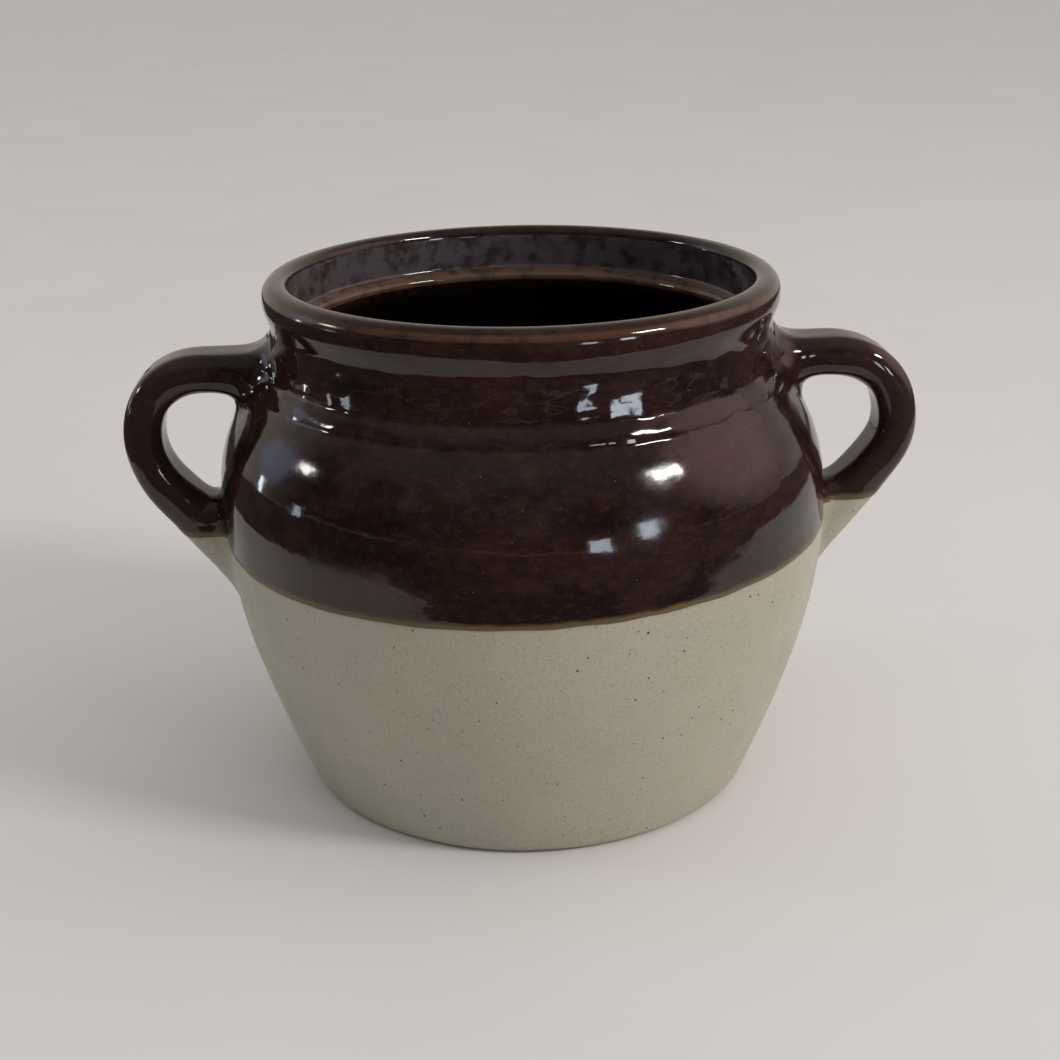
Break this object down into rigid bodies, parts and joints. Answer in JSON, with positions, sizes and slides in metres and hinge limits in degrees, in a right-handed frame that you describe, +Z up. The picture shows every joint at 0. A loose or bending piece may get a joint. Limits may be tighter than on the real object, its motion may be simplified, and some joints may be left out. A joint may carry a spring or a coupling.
{
  "type": "two-handled stoneware crock",
  "caption": "Squat open stoneware crock with a beaded rim, a lid ledge inside the mouth, two luted strap handles, dark brown glaze above and buff glaze below.",
  "frame": {"origin": "centre of the bare foot, on the surface the crock stands on", "axes": "+Z up through the mouth, +X towards the right handle, the two handles lie along X"},
  "size_m": [0.2304, 0.176, 0.1505],
  "materials": {
    "stoneware": "matte bare fired clay",
    "brown_glaze": "glossy dark brown",
    "buff_glaze": "satin grey-buff"
  },
  "bodies": {
    "root": {"crock_body": "stoneware", "left_handle": "stoneware", "right_handle": "stoneware", "brown_glaze": "brown_glaze", "buff_glaze": "buff_glaze"}
  },
  "joints": []
}
